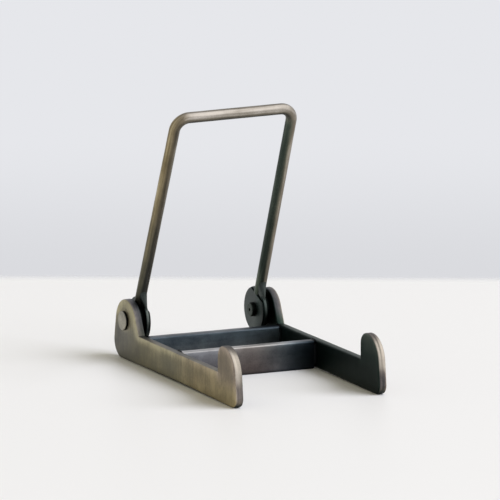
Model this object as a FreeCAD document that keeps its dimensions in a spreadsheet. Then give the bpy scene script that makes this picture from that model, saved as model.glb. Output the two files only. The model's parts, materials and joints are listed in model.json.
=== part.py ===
"""Photo album stand: a small folding easel in antique brass.

Two side plates on edge, each with a rounded lobe behind and a hook in front, are joined by two
crossbars.  A round wire bent to a U is the backrest.  Each of its legs ends in a round eye plate
that turns on a rivet through the lobe, with a spacer washer outside it and a thin washer inside.
The end of the wire straddles the eye plate, and the thin washer has a flat that clears it.

Axes: +X to the right, +Y to the back, +Z up, in millimetres.  The origin is on the table, below
the middle of the base's length and width.
"""
import FreeCAD, Part
import math
import os
import Sketcher

# Driving dimensions: the sheet's alias, its value (mm or degrees) and what it is.
SIZES = [
    ("overall_width", 58.5, "over the outer faces of the two side plates"),
    ("base_length", 104.0, "from the back of the heel to the front of the toe"),
    ("plate_thickness", 3.0, "side plate"),
    ("plate_edge_round", 0.45, "rounding of the side plate's edges"),
    ("bar_height", 10.5, "top of the bar between lobe and hook"),
    ("foot_length", 5.0, "flat under the heel and under the toe"),
    ("arch_rise", 0.5, "how far the underside arches up between heel and toe"),
    ("heel_radius", 6.3, "round of the heel"),
    ("toe_radius", 3.5, "round of the toe"),
    ("lobe_top", 22.0, "height of the lobe"),
    ("lobe_radius", 8.7, "round of the lobe's top"),
    ("lobe_centre_inset", 10.1, "from the back of the heel to the centre of that round"),
    ("lobe_length", 21.1, "from the back of the heel to the lobe's front corner"),
    ("hook_length", 15.45, "from the hook's back face to the front of the toe"),
    ("hook_top", 20.35, "height of the hook"),
    ("hook_tip_radius", 4.2, "round between the hook's back face and its tip"),
    ("hook_brow_radius", 9.8, "large round of the hook's front"),
    ("hook_brow_advance", 0.45, "that round's centre lies in front of the tip round's centre"),
    ("pivot_inset", 9.05, "from the back of the heel to the pivot axis"),
    ("pivot_height", 14.1, "height of the pivot axis"),
    ("crossbar_thickness", 3.5, "front to back"),
    ("crossbar_height", 10.25, "from the table up"),
    ("crossbar_edge_round", 0.5, "rounding of the long top edges"),
    ("crossbar_corner", 0.8, "bevel of the two bottom corners"),
    ("rear_crossbar_place", 20.3, "from the back of the heel to the rear crossbar's back face"),
    ("front_crossbar_place", 49.1, "from the back of the heel to the front crossbar's back face"),
    ("wire_diameter", 4.0, "backrest wire"),
    ("wire_side_clearance", 0.3, "between the wire and a side plate at the pivot"),
    ("wire_length", 84.4, "from the pivot axis to the axis of the wire's top"),
    ("wire_bend_radius", 5.0, "of the wire's axis at its two corners"),
    ("wire_setback", 0.9, "the wire's axis passes this far behind the pivot axis"),
    ("wire_convergence", 1.1, "how far each leg comes inwards from the pivot to the top"),
    ("wire_droop", 0.9, "the left end of the wire's top is lower than its right end"),
    ("lean_angle", 22.3, "the backrest leans forward from the vertical at rest, degrees"),
    ("eye_radius", 8.4, "eye plate"),
    ("eye_thickness", 1.3, "eye plate"),
    ("eye_edge_round", 0.3, "rounding of the eye plate's rim"),
    ("braze_gap", 0.05, "between the eye's rim and the step in the wire"),
    ("inner_washer_inset", 0.2, "its rim lies this far inside the eye plate's rim"),
    ("inner_washer_thickness", 0.5, "washer under the rivet's closed end"),
    ("inner_washer_to_wire_clearance", 0.1, "between that washer's flat and the end of the wire"),
    ("spacer_radius", 6.0, "washer between the side plate and the eye"),
    ("spacer_thickness", 2.15, "washer between the side plate and the eye"),
    ("spacer_to_wire_clearance", 0.3, "between the spacer's rim and the end of the wire"),
    ("washer_edge_bevel", 0.15, "bevel of both washers' rims"),
    ("rivet_shank_diameter", 3.4, "rivet"),
    ("rivet_fit_clearance", 0.05, "radial, between the shank and each hole"),
    ("rivet_head_radius", 3.5, "head on the outside of the side plate"),
    ("rivet_head_thickness", 0.95, "head on the outside of the side plate"),
    ("rivet_end_radius", 2.6, "closed end on the inside"),
    ("rivet_end_thickness", 1.6, "closed end on the inside"),
    ("rivet_end_hole_radius", 0.55, "small hole in the middle of the closed end"),
    ("rivet_end_hole_depth", 1.6, "small hole in the middle of the closed end"),
    ("rivet_edge_bevel", 0.25, "bevel of the head and of the closed end"),
]

# Places that several pieces share, each worked out from the sheet.
BACK = "sizes.base_length / 2"
FRONT = "-sizes.base_length / 2"
PIVOT_Y = "sizes.base_length / 2 - sizes.pivot_inset"
PIVOT_Z = "sizes.pivot_height"
INNER_FACE_X = "sizes.overall_width / 2 - sizes.plate_thickness"
WIRE_X = INNER_FACE_X + " - sizes.wire_side_clearance - sizes.wire_diameter / 2"
EYE_OUTER_X = INNER_FACE_X + " - sizes.spacer_thickness"
EYE_INNER_X = EYE_OUTER_X + " - sizes.eye_thickness"
INNER_WASHER_X = EYE_INNER_X + " - sizes.inner_washer_thickness"
RIVET_HOLE_RADIUS = "sizes.rivet_shank_diameter / 2 + sizes.rivet_fit_clearance"
LEG_END = "sizes.spacer_radius + sizes.spacer_to_wire_clearance"

LEFT = -1
RIGHT = 1
SIDES = {"left": LEFT, "right": RIGHT}

# Two lengths in millimetres that differ by less than this are the same.
CLOSE = 1e-6

# How a sketch names the points of its elements, and its own origin.
START = 1
END = 2
CENTRE = 3
ORIGIN = (-1, START)

doc = FreeCAD.newDocument("album_stand")
sheet = doc.addObject("Spreadsheet::Sheet", "sizes")


def fill_sheet():
    """Write each driving dimension into its own row, with its alias."""
    for row, (alias, value, note) in enumerate(SIZES, start=1):
        sheet.set("A%d" % row, alias)
        sheet.set("B%d" % row, str(value))
        sheet.set("C%d" % row, note)
        sheet.setAlias("B%d" % row, alias)
    doc.recompute()


def number(formula):
    """The present value of a formula over the sheet's cells."""
    return float(sheet.evalExpression(formula))


def point(x_formula, y_formula):
    """A starting point in a sketch's own plane, from two formulas."""
    return FreeCAD.Vector(number(x_formula), number(y_formula), 0)


def new_body(label):
    """An empty body, named for its piece."""
    body = doc.addObject("PartDesign::Body", label)
    body.Label = label
    return body


def origin_plane(body, role):
    """One of the body's own origin planes, such as XY_Plane."""
    return next(item for item in body.Origin.OriginFeatures if item.Role == role)


def new_sketch(body, name, role, offset="0"):
    """A sketch on one of the body's origin planes, or at an offset along its normal."""
    sketch = body.newObject("Sketcher::SketchObject", name)
    sketch.AttachmentSupport = [(origin_plane(body, role), "")]
    sketch.MapMode = "FlatFace"
    sketch.setExpression("AttachmentOffset.Base.z", offset)
    return sketch


def size(sketch, kind, references, formula):
    """Give a sketch one dimension and bind it to the sheet."""
    index = sketch.addConstraint(Sketcher.Constraint(kind, *references, number(formula)))
    sketch.setExpression("Constraints[%d]" % index, formula)


def place(sketch, element, corner, x_formula, y_formula):
    """Bind a point of a sketch element to a place measured from the sketch's origin."""
    size(sketch, "DistanceX", (*ORIGIN, element, corner), x_formula)
    size(sketch, "DistanceY", (*ORIGIN, element, corner), y_formula)


def join(sketch, kind, pairs):
    """Make each pair of element ends meet, with kind Coincident, or run on, with Tangent."""
    for first, first_end, second, second_end in pairs:
        sketch.addConstraint(Sketcher.Constraint(kind, first, first_end, second, second_end))


def add_line(sketch, start, end):
    return sketch.addGeometry(Part.LineSegment(start, end), False)


def add_arc(sketch, centre, radius_formula, start_degrees, end_degrees):
    """An arc, counter-clockwise; the angles are only where the solver starts."""
    circle = Part.Circle(centre, FreeCAD.Vector(0, 0, 1), number(radius_formula))
    arc = Part.ArcOfCircle(circle, math.radians(start_degrees), math.radians(end_degrees))
    element = sketch.addGeometry(arc, False)
    size(sketch, "Radius", (element,), radius_formula)
    return element


def add_circle(sketch, x_formula, y_formula, radius_formula):
    """A full circle, bound in place and size."""
    circle = Part.Circle(point(x_formula, y_formula), FreeCAD.Vector(0, 0, 1),
                         number(radius_formula))
    element = sketch.addGeometry(circle, False)
    place(sketch, element, CENTRE, x_formula, y_formula)
    size(sketch, "Radius", (element,), radius_formula)
    return element


def add_polygon(sketch, corners):
    """A closed outline of straight lines; each corner is a pair of formulas, bound in place."""
    points = [point(*corner) for corner in corners]
    lines = [add_line(sketch, points[i - 1], points[i]) for i in range(len(points))]
    join(sketch, "Coincident", [(lines[i - 1], END, lines[i], START) for i in range(len(lines))])
    for line, corner in zip(lines, corners):
        place(sketch, line, END, *corner)


def pad(body, sketch, length_formula):
    """Pad a sketch along its normal."""
    feature = body.newObject("PartDesign::Pad", body.Label + "_pad")
    feature.Profile = sketch
    feature.setExpression("Length", length_formula)
    doc.recompute()
    return feature


def edges_where(feature, wanted):
    """The names of a feature's edges that pass a test."""
    return ["Edge%d" % i for i, edge in enumerate(feature.Shape.Edges, start=1) if wanted(edge)]


def dress(body, kind, base, edges, size_formula):
    """Fillet or chamfer the named edges of a feature."""
    feature = body.newObject("PartDesign::" + kind, "%s_%s" % (body.Label, kind.lower()))
    feature.Base = (base, edges)
    feature.setExpression("Radius" if kind == "Fillet" else "Size", size_formula)
    doc.recompute()
    return feature


def is_circle_of(edge, radius):
    """Whether an edge lies on a circle of the given radius."""
    return isinstance(edge.Curve, Part.Circle) and abs(edge.Curve.Radius - radius) < CLOSE


def stand_at(body, x_formula, y_formula="0", z_formula="0"):
    """Bind the body's place to the sheet."""
    body.setExpression("Placement.Base.x", x_formula)
    body.setExpression("Placement.Base.y", y_formula)
    body.setExpression("Placement.Base.z", z_formula)


def plate_underside(sketch, heel_x, toe_x):
    """The flats under the heel and the toe, and the shallow arch between them."""
    arch_start = heel_x + " - sizes.foot_length"
    arch_end = toe_x + " + sizes.foot_length"
    half_span = "((%s) - (%s)) / 2" % (arch_start, arch_end)
    radius = "((%s) ^ 2 + sizes.arch_rise ^ 2) / (2 * sizes.arch_rise)" % half_span
    half_arc = math.degrees(math.asin(number(half_span) / number(radius)))
    centre = point("(%s + %s) / 2" % (arch_start, arch_end), "sizes.arch_rise - " + radius)
    heel_foot = add_line(sketch, point(heel_x, "0"), point(arch_start, "0"))
    arch = add_arc(sketch, centre, radius, 90 - half_arc, 90 + half_arc)
    toe_foot = add_line(sketch, point(arch_end, "0"), point(toe_x, "0"))
    join(sketch, "Coincident", ((heel_foot, END, arch, START), (arch, END, toe_foot, START)))
    sketch.addConstraint(Sketcher.Constraint("Horizontal", heel_foot))
    sketch.addConstraint(Sketcher.Constraint("Horizontal", toe_foot))
    size(sketch, "DistanceX", (*ORIGIN, heel_foot, END), arch_start)
    size(sketch, "DistanceX", (*ORIGIN, toe_foot, START), arch_end)
    return heel_foot, toe_foot


def plate_hook(sketch, toe_x, hook_back):
    """The round toe, the front that slants up from it, the brow, the tip and the back face."""
    tip_x = hook_back + " - sizes.hook_tip_radius"
    tip_z = "sizes.hook_top - sizes.hook_tip_radius"
    brow_reach = "(sizes.hook_brow_radius - sizes.hook_tip_radius)"
    brow_x = tip_x + " - sizes.hook_brow_advance"
    brow_z = "%s - sqrt(%s ^ 2 - sizes.hook_brow_advance ^ 2)" % (tip_z, brow_reach)
    toe = add_arc(sketch, point(toe_x, "sizes.toe_radius"), "sizes.toe_radius", 170, 270)
    front = add_line(sketch, point(FRONT, "sizes.toe_radius"), point(FRONT, "sizes.bar_height"))
    brow = add_arc(sketch, point(brow_x, brow_z), "sizes.hook_brow_radius", 84, 170)
    tip = add_arc(sketch, point(tip_x, tip_z), "sizes.hook_tip_radius", 0, 84)
    back_face = add_line(sketch, point(hook_back, tip_z), point(hook_back, "sizes.bar_height"))
    join(sketch, "Tangent", ((toe, START, front, START), (front, END, brow, END),
                             (brow, START, tip, END), (tip, START, back_face, START)))
    sketch.addConstraint(Sketcher.Constraint("Vertical", back_face))
    place(sketch, toe, CENTRE, toe_x, "sizes.toe_radius")
    size(sketch, "DistanceX", (*ORIGIN, brow, CENTRE), brow_x)
    place(sketch, tip, CENTRE, tip_x, tip_z)
    return toe, back_face


def plate_lobe(sketch, heel_x, lobe_corner):
    """The lobe's slanting front, its round top, its rear and the round heel."""
    lobe_x = BACK + " - sizes.lobe_centre_inset"
    lobe_z = "sizes.lobe_top - sizes.lobe_radius"
    front = add_line(sketch, point(lobe_corner, "sizes.bar_height"),
                     point(lobe_x + " - sizes.lobe_radius", lobe_z))
    lobe = add_arc(sketch, point(lobe_x, lobe_z), "sizes.lobe_radius", 15, 155)
    rear = add_line(sketch, point(lobe_x + " + sizes.lobe_radius", lobe_z),
                    point(BACK, "sizes.heel_radius"))
    heel = add_arc(sketch, point(heel_x, "sizes.heel_radius"), "sizes.heel_radius", -90, 15)
    join(sketch, "Tangent", ((front, END, lobe, END), (lobe, START, rear, START),
                             (rear, END, heel, END)))
    place(sketch, heel, CENTRE, heel_x, "sizes.heel_radius")
    place(sketch, lobe, CENTRE, lobe_x, lobe_z)
    place(sketch, front, START, lobe_corner, "sizes.bar_height")
    return front, heel


def plate_outline(sketch):
    """The side plate seen from the right, with its rivet hole."""
    heel_x = BACK + " - sizes.heel_radius"
    toe_x = FRONT + " + sizes.toe_radius"
    hook_back = FRONT + " + sizes.hook_length"
    lobe_corner = BACK + " - sizes.lobe_length"
    heel_foot, toe_foot = plate_underside(sketch, heel_x, toe_x)
    toe, back_face = plate_hook(sketch, toe_x, hook_back)
    lobe_front, heel = plate_lobe(sketch, heel_x, lobe_corner)
    bar_top = add_line(sketch, point(hook_back, "sizes.bar_height"),
                       point(lobe_corner, "sizes.bar_height"))
    join(sketch, "Coincident", ((back_face, END, bar_top, START),
                                (bar_top, END, lobe_front, START)))
    join(sketch, "Tangent", ((toe_foot, END, toe, END), (heel, START, heel_foot, START)))
    size(sketch, "DistanceY", (*ORIGIN, bar_top, START), "sizes.bar_height")
    add_circle(sketch, PIVOT_Y, PIVOT_Z, RIVET_HOLE_RADIUS)


def make_side_plate(label, side):
    """One side plate; the two are alike and stand a base width apart."""
    body = new_body(label)
    sketch = new_sketch(body, label + "_outline", "YZ_Plane")
    plate_outline(sketch)
    plate = pad(body, sketch, "sizes.plate_thickness")
    hole_radius = number(RIVET_HOLE_RADIUS)
    thickness = number("sizes.plate_thickness")

    def on_a_face(edge):
        across = edge.BoundBox.XLength
        return across < thickness / 2 and not is_circle_of(edge, hole_radius)

    dress(body, "Fillet", plate, edges_where(plate, on_a_face), "sizes.plate_edge_round")
    if side == LEFT:
        stand_at(body, "-sizes.overall_width / 2")
    else:
        stand_at(body, INNER_FACE_X)
    return body


def make_crossbar(label, place_formula):
    """A flat strip on edge between the side plates, with its back face at the given place."""
    body = new_body(label)
    sketch = new_sketch(body, label + "_outline", "XZ_Plane")
    end = INNER_FACE_X
    shoulder = end + " - sizes.crossbar_corner"
    add_polygon(sketch, [
        ("-(%s)" % shoulder, "0"), (shoulder, "0"), (end, "sizes.crossbar_corner"),
        (end, "sizes.crossbar_height"), ("-(%s)" % end, "sizes.crossbar_height"),
        ("-(%s)" % end, "sizes.crossbar_corner")])
    strip = pad(body, sketch, "sizes.crossbar_thickness")
    top = number("sizes.crossbar_height")

    def is_long_top_edge(edge):
        box = edge.BoundBox
        return box.ZMin > top - CLOSE and box.XLength > box.YLength

    dress(body, "Fillet", strip, edges_where(strip, is_long_top_edge),
          "sizes.crossbar_edge_round")
    stand_at(body, "0", BACK + " - " + place_formula)
    return body


def wire_path(sketch):
    """The wire's axis in its own upright plane; gives how far its ends are from the middle."""
    slope = "sizes.wire_convergence / sizes.wire_length"
    foot_x = "%s - (%s) * %s" % (WIRE_X, LEG_END, slope)
    top_x = WIRE_X + " - sizes.wire_convergence"
    bend_x = top_x + " - sizes.wire_bend_radius"
    left_z = "sizes.wire_length - sizes.wire_bend_radius - sizes.wire_droop / 2"
    right_z = "sizes.wire_length - sizes.wire_bend_radius + sizes.wire_droop / 2"
    left_leg = add_line(sketch, point("-(%s)" % foot_x, LEG_END), point("-(%s)" % top_x, left_z))
    left_bend = add_arc(sketch, point("-(%s)" % bend_x, left_z), "sizes.wire_bend_radius",
                        90, 180)
    top = add_line(sketch, point("-(%s)" % bend_x, "sizes.wire_length"),
                   point(bend_x, "sizes.wire_length"))
    right_bend = add_arc(sketch, point(bend_x, right_z), "sizes.wire_bend_radius", 0, 90)
    right_leg = add_line(sketch, point(top_x, right_z), point(foot_x, LEG_END))
    join(sketch, "Tangent", ((left_leg, END, left_bend, END), (left_bend, START, top, START),
                             (top, END, right_bend, END), (right_bend, START, right_leg, START)))
    place(sketch, left_leg, START, "-(%s)" % foot_x, LEG_END)
    place(sketch, right_leg, END, foot_x, LEG_END)
    place(sketch, left_bend, CENTRE, "-(%s)" % bend_x, left_z)
    place(sketch, right_bend, CENTRE, bend_x, right_z)
    return foot_x


def make_backrest_wire():
    """The U of round wire; each end has a slot that an eye plate is brazed into."""
    body = new_body("backrest_wire")
    path = new_sketch(body, "backrest_wire_path", "XZ_Plane", "-sizes.wire_setback")
    foot_x = wire_path(path)
    section = new_sketch(body, "backrest_wire_section", "XY_Plane", LEG_END)
    add_circle(section, "-(%s)" % foot_x, "sizes.wire_setback", "sizes.wire_diameter / 2")
    pipe = body.newObject("PartDesign::AdditivePipe", "backrest_wire_sweep")
    pipe.Profile = section
    pipe.Spine = (path, ["Edge%d" % i for i in range(1, len(path.Geometry) + 1)])
    doc.recompute()
    for name, side in SIDES.items():
        slot_face = EYE_OUTER_X if side == RIGHT else "-(%s)" % EYE_OUTER_X
        cutter = new_sketch(body, name + "_eye_slot_outline", "YZ_Plane", slot_face)
        add_circle(cutter, "0", "0", "sizes.eye_radius + sizes.braze_gap")
        slot = body.newObject("PartDesign::Pocket", name + "_eye_slot")
        slot.Profile = cutter
        slot.Reversed = side == LEFT
        slot.setExpression("Length", "sizes.eye_thickness")
        doc.recompute()
    lean_about_pivot(body)
    return body


def lean_about_pivot(body, x_formula="0"):
    """Put a piece that was made upright about the pivot axis where it stands at rest."""
    stand_at(body, x_formula, PIVOT_Y, PIVOT_Z)
    body.Placement.Rotation = FreeCAD.Rotation(FreeCAD.Vector(1, 0, 0), number("sizes.lean_angle"))
    body.setExpression("Placement.Rotation.Angle", "sizes.lean_angle")


def add_circle_with_flat(sketch, radius_formula, flat_formula):
    """A circle about the sketch's origin that is cut off level, above its centre."""
    radius, height = number(radius_formula), number(flat_formula)
    reach = math.sqrt(radius ** 2 - height ** 2)
    corner = math.degrees(math.acos(reach / radius))
    rim = add_arc(sketch, FreeCAD.Vector(0, 0, 0), radius_formula, 180 - corner, 360 + corner)
    flat = add_line(sketch, FreeCAD.Vector(reach, height, 0), FreeCAD.Vector(-reach, height, 0))
    join(sketch, "Coincident", ((rim, END, flat, START), (flat, END, rim, START)))
    sketch.addConstraint(Sketcher.Constraint("Horizontal", flat))
    place(sketch, rim, CENTRE, "0", "0")
    size(sketch, "DistanceY", (*ORIGIN, flat, START), flat_formula)


def finish_disc(body, sketch, side, near_face, thickness, radius, edge_kind, edge_size):
    """Pierce, pad and dress a disc's outline; gives where the disc stands along X."""
    add_circle(sketch, "0", "0", RIVET_HOLE_RADIUS)
    disc = pad(body, sketch, thickness)
    rim = number(radius)
    dress(body, edge_kind, disc, edges_where(disc, lambda edge: is_circle_of(edge, rim)),
          edge_size)
    return near_face if side == RIGHT else "-(%s) - (%s)" % (near_face, thickness)


def make_eye_plate(label, side):
    """The round plate that a leg of the wire is brazed to."""
    body = new_body(label)
    sketch = new_sketch(body, label + "_outline", "YZ_Plane")
    add_circle(sketch, "0", "0", "sizes.eye_radius")
    x_place = finish_disc(body, sketch, side, EYE_INNER_X, "sizes.eye_thickness",
                          "sizes.eye_radius", "Fillet", "sizes.eye_edge_round")
    stand_at(body, x_place, PIVOT_Y, PIVOT_Z)
    return body


def make_spacer_washer(label, side):
    """The washer that keeps an eye plate off its side plate."""
    body = new_body(label)
    sketch = new_sketch(body, label + "_outline", "YZ_Plane")
    add_circle(sketch, "0", "0", "sizes.spacer_radius")
    x_place = finish_disc(body, sketch, side, EYE_OUTER_X, "sizes.spacer_thickness",
                          "sizes.spacer_radius", "Chamfer", "sizes.washer_edge_bevel")
    stand_at(body, x_place, PIVOT_Y, PIVOT_Z)
    return body


def make_inner_washer(label, side):
    """The washer under a rivet's closed end; its flat faces the end of the wire."""
    body = new_body(label)
    sketch = new_sketch(body, label + "_outline", "YZ_Plane")
    radius = "sizes.eye_radius - sizes.inner_washer_inset"
    add_circle_with_flat(sketch, radius, LEG_END + " - sizes.inner_washer_to_wire_clearance")
    x_place = finish_disc(body, sketch, side, INNER_WASHER_X, "sizes.inner_washer_thickness",
                          radius, "Chamfer", "sizes.washer_edge_bevel")
    lean_about_pivot(body, x_place)
    return body


def make_rivet(label, side):
    """A turned rivet: outer head, shank and closed inner end with a small hole in it."""
    body = new_body(label)
    sketch = new_sketch(body, label + "_profile", "XY_Plane")
    head_inner = "sizes.overall_width / 2"
    head_outer = head_inner + " + sizes.rivet_head_thickness"
    end_outer = INNER_WASHER_X
    end_inner = end_outer + " - sizes.rivet_end_thickness"
    bevel = " - sizes.rivet_edge_bevel"
    shank = "sizes.rivet_shank_diameter / 2"
    add_polygon(sketch, [
        (end_inner + " + sizes.rivet_end_hole_depth", "0"), (head_outer, "0"),
        (head_outer, "sizes.rivet_head_radius" + bevel),
        (head_outer + bevel, "sizes.rivet_head_radius"),
        (head_inner, "sizes.rivet_head_radius"), (head_inner, shank), (end_outer, shank),
        (end_outer, "sizes.rivet_end_radius"),
        (end_inner + " + sizes.rivet_edge_bevel", "sizes.rivet_end_radius"),
        (end_inner, "sizes.rivet_end_radius" + bevel),
        (end_inner, "sizes.rivet_end_hole_radius"),
        (end_inner + " + sizes.rivet_end_hole_depth", "sizes.rivet_end_hole_radius")])
    turned = body.newObject("PartDesign::Revolution", label + "_turned")
    turned.Profile = sketch
    turned.ReferenceAxis = (sketch, ["H_Axis"])
    turned.Angle = 360
    doc.recompute()
    stand_at(body, "0", PIVOT_Y, PIVOT_Z)
    if side == LEFT:
        body.Placement.Rotation = FreeCAD.Rotation(FreeCAD.Vector(0, 0, 1), 180)
    return body


def build():
    """Every piece of the stand."""
    fill_sheet()
    bodies = []
    for name, side in SIDES.items():
        bodies.append(make_side_plate(name + "_side_plate", side))
    bodies.append(make_crossbar("rear_crossbar", "sizes.rear_crossbar_place"))
    bodies.append(make_crossbar("front_crossbar", "sizes.front_crossbar_place"))
    bodies.append(make_backrest_wire())
    for name, side in SIDES.items():
        bodies.append(make_eye_plate(name + "_eye_plate", side))
        bodies.append(make_spacer_washer(name + "_spacer_washer", side))
        bodies.append(make_inner_washer(name + "_inner_washer", side))
        bodies.append(make_rivet(name + "_rivet", side))
    doc.recompute()
    return bodies


def check(bodies):
    """Stop if any object failed or any piece isn't one valid solid."""
    for item in doc.Objects:
        for word in ("Invalid", "Error"):
            if word in item.State:
                raise RuntimeError("%s is %s" % (item.Name, word))
    for body in bodies:
        shape = body.Shape
        if shape.isNull() or not shape.isValid() or len(shape.Solids) != 1:
            raise RuntimeError("%s isn't one valid solid" % body.Label)


def write_pieces(bodies):
    """Write each piece to its own STEP file."""
    os.makedirs("parts", exist_ok=True)
    for body in bodies:
        body.Shape.exportStep("parts/%s.step" % body.Label)
        box = body.Shape.optimalBoundingBox(False)
        print("%-22s %9.2f mm3  x %7.2f..%7.2f  y %7.2f..%7.2f  z %7.2f..%7.2f" % (
            body.Label, body.Shape.Volume, box.XMin, box.XMax, box.YMin, box.YMax,
            box.ZMin, box.ZMax))


pieces = build()
check(pieces)
write_pieces(pieces)
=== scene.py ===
"""The looks of the photo album stand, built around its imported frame.

Everything is in metres, in the frame's own axes: +X to the right, +Y to the back, +Z up.
Each CAD node is replaced by a finer mesh of the same piece.  The fine meshes carry three painted
values: "relief" says how far the dark patina is rubbed off, "edge" how far an edge is worn pale,
and "tint" how warm or cool the metal is there.

A place or a direction named by a pair of numbers begins at the first number and is fully reached
at the second, which may be the smaller one.
"""
import json
import math

import bpy
import numpy as np
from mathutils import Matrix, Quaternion, Vector, kdtree, noise


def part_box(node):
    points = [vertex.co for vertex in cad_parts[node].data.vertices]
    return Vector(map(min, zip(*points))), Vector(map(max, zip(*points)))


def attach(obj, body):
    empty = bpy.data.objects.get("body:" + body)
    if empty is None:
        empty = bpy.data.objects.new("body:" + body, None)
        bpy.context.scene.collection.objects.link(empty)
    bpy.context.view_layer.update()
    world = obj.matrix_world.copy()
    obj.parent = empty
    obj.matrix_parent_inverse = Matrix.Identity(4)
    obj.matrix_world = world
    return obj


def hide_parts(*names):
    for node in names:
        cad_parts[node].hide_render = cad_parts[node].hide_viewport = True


MM = 0.001
SIDES = {"left": -1, "right": 1}

# Camera: a long lens, so that the view is nearly parallel.
CAMERA_AIM = Vector((20.77, 42.85, 36.15)) * MM
CAMERA_AZIMUTH = math.radians(-25.34)
CAMERA_ELEVATION = math.radians(10.68)
CAMERA_ROLL = math.radians(0.25)
CAMERA_DISTANCE = 2.178
CAMERA_LENS = 432.0
CAMERA_SENSOR = 36.0
CAMERA_NEAREST = 0.1
CAMERA_FARTHEST = 20.0

# Stage: the table's far edge shows softly behind the stand, and past it the wall.
TABLE_EDGE = 0.180
TABLE_EDGE_BLUR = 0.007
TABLE_PAST_EDGE = 0.05
TABLE_REACH = 3.0
TABLE_COLOUR = (0.846, 0.838, 0.817)
TABLE_ROUGHNESS = 0.47
TABLE_SPECULAR = 0.25
# The wall's shade, from its foot up: each place is the upward part of the camera's line of sight.
WALL_HIGH = (0.791, 0.799, 0.831)
WALL_LOW = (0.700, 0.707, 0.737)
WALL_LOW_AT = -0.190
WALL_HIGH_AT = -0.166

# Light: an even room, warm in the shadows, and one large soft window to the front right.
ROOM_LIGHT = (0.425, 0.405, 0.325)
WINDOW_COLOUR = (0.975, 1.0, 1.14)
WINDOW_AZIMUTH = math.radians(50)
WINDOW_ELEVATION = math.radians(42)
WINDOW_DISTANCE = 8.0
WINDOW_SIZE = 6.8
WINDOW_POWER = 756.0
# How the metal sees the room, and the glow of the window in it.
ROOM_SEEN = (0.78, 0.78, 0.80)
GLOW_SEEN = (1.75, 1.72, 1.70)
GLOW_FROM = math.cos(math.radians(58))
GLOW_TO = math.cos(math.radians(12))

# Fine meshes: the size of their faces, and how many passes smooth them.
PLATE_VOXEL = 0.24 * MM
WIRE_VOXEL = 0.22 * MM
DISC_VOXEL = 0.12 * MM
RIVET_VOXEL = 0.8 * DISC_VOXEL
PLATE_PASSES = 2
BAR_PASSES = 7
WIRE_PASSES = 2
SMALL_PASSES = 1
PASS_STRENGTH = 0.5
# Hand-worked unevenness, and the streaks that polishing leaves.
UNEVENNESS = 0.03 * MM
UNEVEN_EVERY = 6.0 * MM
STREAK_LENGTH = 12.0 * MM
PLATE_STREAKS_ACROSS = 4.5
WIRE_STREAKS_ROUND = 3.0

# Grain of the antique metal.
PATCH_EVERY = 9 * MM
SPECK_EVERY = 0.35 * MM
BRUSH_DEPTH = 0.02 * MM
SPECK_DEPTH = 0.015 * MM
BRUSH_STRENGTH = 0.35
SPECK_STRENGTH = 0.25
BRUSH_ROUGHNESS = 0.07
# How far an edge's wear covers it with the pale edge colour.
EDGE_SHOWS = (0.05, 1.05)
EDGE_PALEST = 0.92

# Tints: what the colour of the rubbed metal is multiplied by.
PLAIN = (1.0, 1.0, 1.0)
OLIVE = (1.02, 1.01, 0.85)
BROWN = (1.08, 0.97, 0.84)
GREY = (0.95, 0.98, 1.02)
PINK = (1.04, 0.98, 0.98)
BLUE = (0.75, 1.02, 1.25)
LILAC = (0.88, 1.00, 1.14)
GREEN = (0.77, 1.04, 0.98)

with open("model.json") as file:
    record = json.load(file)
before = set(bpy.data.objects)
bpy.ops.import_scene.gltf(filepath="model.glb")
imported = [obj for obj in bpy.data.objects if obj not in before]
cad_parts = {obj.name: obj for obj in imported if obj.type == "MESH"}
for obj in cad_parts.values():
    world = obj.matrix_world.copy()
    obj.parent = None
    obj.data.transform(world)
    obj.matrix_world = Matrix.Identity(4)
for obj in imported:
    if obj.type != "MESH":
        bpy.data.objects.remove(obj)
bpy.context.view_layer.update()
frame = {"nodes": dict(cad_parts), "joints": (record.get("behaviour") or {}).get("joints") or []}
PIVOT = Vector(frame["joints"][0]["pos_m"])


def smooth_step(values, begins, reached):
    """0 before a place begins, 1 once it is reached, and a smooth change between them."""
    share = np.clip((values - begins) / (reached - begins), 0.0, 1.0)
    return share * share * (3.0 - 2.0 * share)


def node_size(node):
    """Lowest and highest corner of a CAD node, as arrays."""
    low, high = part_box(node)
    return np.array(low), np.array(high)


def noise_at(*places):
    """Smooth noise, from about -1 to 1, at places given by three columns of numbers."""
    return np.array([noise.noise(Vector(place)) for place in np.column_stack(places)])


# ---------------------------------------------------------------- meshes

def new_piece(name, mesh):
    """Put a mesh into the scene as an object."""
    piece = bpy.data.objects.new(name, mesh)
    bpy.context.scene.collection.objects.link(piece)
    return piece


def even_copy(node, voxel, passes):
    """A copy of a CAD node's mesh with small even faces, so that it can be painted per point."""
    rough = new_piece(node + "_rough", frame["nodes"][node].data.copy())
    remesh = rough.modifiers.new("even", "REMESH")
    remesh.mode = "VOXEL"
    remesh.voxel_size = voxel
    remesh.use_smooth_shade = True
    ease = rough.modifiers.new("ease", "SMOOTH")
    ease.factor = PASS_STRENGTH
    ease.iterations = passes
    bpy.context.view_layer.update()
    seen = rough.evaluated_get(bpy.context.evaluated_depsgraph_get())
    mesh = bpy.data.meshes.new_from_object(seen)
    mesh.materials.clear()
    bpy.data.objects.remove(rough)
    return mesh


def points_of(mesh):
    """The mesh's points and their normals, as arrays."""
    count = len(mesh.vertices)
    points = np.empty(count * 3)
    normals = np.empty(count * 3)
    mesh.vertices.foreach_get("co", points)
    mesh.vertices.foreach_get("normal", normals)
    return points.reshape(-1, 3), normals.reshape(-1, 3)


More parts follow.
